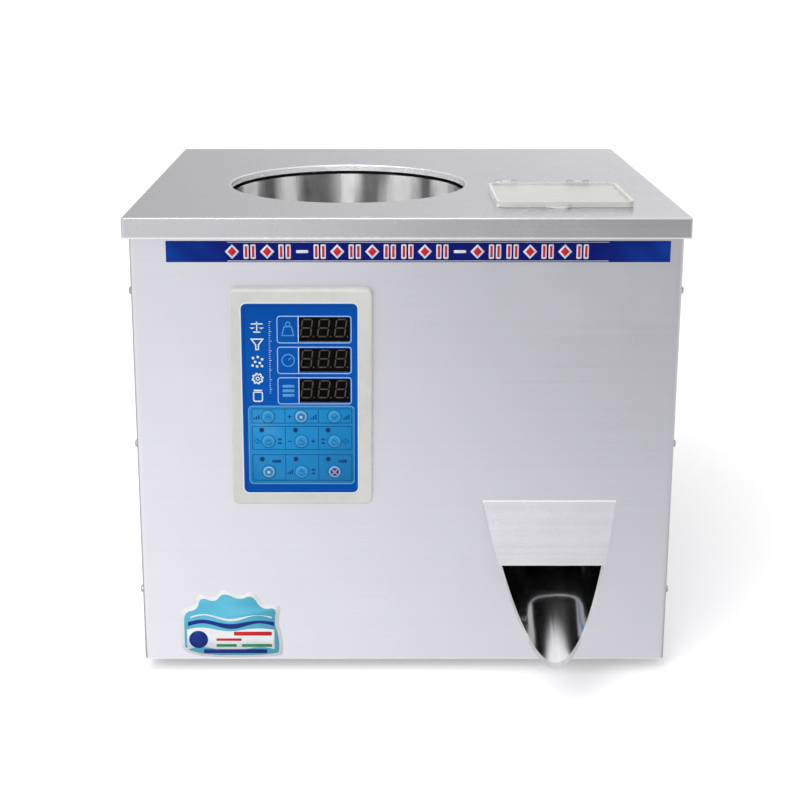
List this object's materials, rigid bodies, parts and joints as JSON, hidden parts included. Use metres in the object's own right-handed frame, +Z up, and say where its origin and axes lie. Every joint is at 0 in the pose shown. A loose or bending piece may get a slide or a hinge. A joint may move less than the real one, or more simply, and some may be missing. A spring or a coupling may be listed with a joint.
{
  "type": "granule filling machine",
  "caption": "Counter-top filling machine: a steel case with a vibrating spiral bowl, a weighing hopper with gate, a control panel and a front chute.",
  "frame": {"origin": "middle of the bounding box's footprint, on the surface that the feet stand on", "axes": "+X to the right of a user who faces the chute, +Y to the back, +Z up"},
  "size_m": [0.42, 0.43, 0.3722],
  "materials": {
    "plate_steel": "satin stainless, level brushing",
    "case_steel": "satin stainless sheet",
    "polished_steel": "polished stainless",
    "galvanised_steel": "galvanised sheet",
    "screw_steel": "bright zinc",
    "hinge_steel": "bright plated",
    "spring_steel": "blued spring steel",
    "black_rubber": "matt rubber",
    "banner_film": "gloss printed film",
    "clear_plastic": "clear moulded plastic",
    "bezel_plastic": "warm white moulded plastic",
    "overlay_film": "printed overlay",
    "key_plastic": "domed key",
    "display_plastic": "smoked display window",
    "lamp_plastic": "unlit lamp",
    "board_laminate": "green laminate",
    "aluminium_casting": "machined casting",
    "painted_casting": "grey painted casting",
    "magnet_iron": "laminated iron",
    "coil_winding": "varnished copper winding",
    "solenoid_frame": "zinc-plated frame",
    "cell_aluminium": "anodised",
    "black_plastic": "moulded black plastic",
    "rocker_plastic": "gloss black rocker",
    "socket_nickel": "nickel-plated brass"
  },
  "bodies": {
    "housing": {"top_plate": "plate_steel", "front_panel": "case_steel", "left_side_panel": "case_steel", "right_side_panel": "case_steel", "rear_panel": "case_steel", "corner_posts": "galvanised_steel", "base_plate": "galvanised_steel", "rubber_feet": "black_rubber", "case_screws": "screw_steel", "banner_strip": "banner_film", "lid_hinge_brackets": "hinge_steel", "lid_hinge_pins": "hinge_steel", "panel_bezel": "bezel_plastic", "panel_overlay": "overlay_film", "display_modules": "display_plastic", "indicator_lamps": "lamp_plastic", "control_board": "board_laminate", "leaf_springs": "spring_steel", "lower_spring_clamps": "screw_steel", "drive_base": "painted_casting", "isolation_mounts": "black_rubber", "feeder_bridge": "galvanised_steel", "magnet_core": "magnet_iron", "magnet_coil": "coil_winding", "weigh_hopper": "polished_steel", "gate_pivot_pin": "screw_steel", "gate_solenoid": "solenoid_frame", "gate_return_spring": "spring_steel", "hopper_hanger": "galvanised_steel", "load_cell": "cell_aluminium", "load_cell_stand": "galvanised_steel", "discharge_chute": "polished_steel", "chute_cover": "case_steel", "inner_slide": "polished_steel", "power_inlet": "black_plastic", "power_switch_housing": "black_plastic", "fuse_holder": "black_plastic", "pedal_socket": "socket_nickel", "transformer": "magnet_iron", "driver_board": "board_laminate"},
    "lid": {"access_lid": "clear_plastic"},
    "bowl": {"bowl_shell": "polished_steel", "spiral_track": "polished_steel", "bowl_outlet_spout": "polished_steel", "bowl_clamp_bolt": "screw_steel", "bowl_mount_plate": "aluminium_casting", "armature": "magnet_iron", "upper_spring_clamps": "screw_steel"},
    "gate": {"hopper_gate": "polished_steel"},
    "plunger": {"solenoid_plunger": "screw_steel"},
    "power_button": {"power_rocker": "rocker_plastic"},
    "body_key_top_left": {"key_top_left": "key_plastic"},
    "body_key_top_centre": {"key_top_centre": "key_plastic"},
    "body_key_top_right": {"key_top_right": "key_plastic"},
    "body_key_middle_left": {"key_middle_left": "key_plastic"},
    "body_key_middle_centre": {"key_middle_centre": "key_plastic"},
    "body_key_middle_right": {"key_middle_right": "key_plastic"},
    "body_key_bottom_left": {"key_bottom_left": "key_plastic"},
    "body_key_bottom_centre": {"key_bottom_centre": "key_plastic"},
    "body_key_bottom_right": {"key_bottom_right": "key_plastic"}
  },
  "joints": [
    {"name": "lid_hinge", "type": "hinge", "parent": "housing", "child": "lid", "pos_m": [0.122, -0.0191, 0.3694], "axis": [-1, 0, 0], "range_deg": [0, 110]},
    {"name": "bowl_swing", "type": "hinge", "parent": "housing", "child": "bowl", "pos_m": [-0.0457, 0.00837, 0.22984], "axis": [0, 0, 1], "range_deg": [-0.5, 0.5], "stiffness_Nm_per_rad": 200, "deforming": ["leaf_springs"]},
    {"name": "gate_pivot", "type": "hinge", "parent": "housing", "child": "gate", "pos_m": [0.122, -0.0398, 0.22076], "axis": [1, 0, 0], "range_deg": [0, 55]},
    {"name": "plunger_pull", "type": "slide", "parent": "housing", "child": "plunger", "axis": [0, 1, 0], "range_m": [0, 0.01571], "stiffness_N_per_m": 300, "springref_m": -0.01, "deforming": ["gate_return_spring"]},
    {"name": "power_rock", "type": "hinge", "parent": "housing", "child": "power_button", "pos_m": [0.104, 0.208, 0.055], "axis": [1, 0, 0], "range_deg": [0, 24]},
    {"name": "press_top_left", "type": "slide", "parent": "housing", "child": "body_key_top_left", "axis": [0, 1, 0], "range_m": [0, 0.0004], "stiffness_N_per_m": 800, "springref_m": -0.0005},
    {"name": "press_top_centre", "type": "slide", "parent": "housing", "child": "body_key_top_centre", "axis": [0, 1, 0], "range_m": [0, 0.0004], "stiffness_N_per_m": 800, "springref_m": -0.0005},
    {"name": "press_top_right", "type": "slide", "parent": "housing", "child": "body_key_top_right", "axis": [0, 1, 0], "range_m": [0, 0.0004], "stiffness_N_per_m": 800, "springref_m": -0.0005},
    {"name": "press_middle_left", "type": "slide", "parent": "housing", "child": "body_key_middle_left", "axis": [0, 1, 0], "range_m": [0, 0.0004], "stiffness_N_per_m": 800, "springref_m": -0.0005},
    {"name": "press_middle_centre", "type": "slide", "parent": "housing", "child": "body_key_middle_centre", "axis": [0, 1, 0], "range_m": [0, 0.0004], "stiffness_N_per_m": 800, "springref_m": -0.0005},
    {"name": "press_middle_right", "type": "slide", "parent": "housing", "child": "body_key_middle_right", "axis": [0, 1, 0], "range_m": [0, 0.0004], "stiffness_N_per_m": 800, "springref_m": -0.0005},
    {"name": "press_bottom_left", "type": "slide", "parent": "housing", "child": "body_key_bottom_left", "axis": [0, 1, 0], "range_m": [0, 0.0004], "stiffness_N_per_m": 800, "springref_m": -0.0005},
    {"name": "press_bottom_centre", "type": "slide", "parent": "housing", "child": "body_key_bottom_centre", "axis": [0, 1, 0], "range_m": [0, 0.0004], "stiffness_N_per_m": 800, "springref_m": -0.0005},
    {"name": "press_bottom_right", "type": "slide", "parent": "housing", "child": "body_key_bottom_right", "axis": [0, 1, 0], "range_m": [0, 0.0004], "stiffness_N_per_m": 800, "springref_m": -0.0005}
  ],
  "couplings": [
    {"joint": "plunger_pull", "follows": "gate_pivot", "m_per_rad": 0.016355}
  ]
}
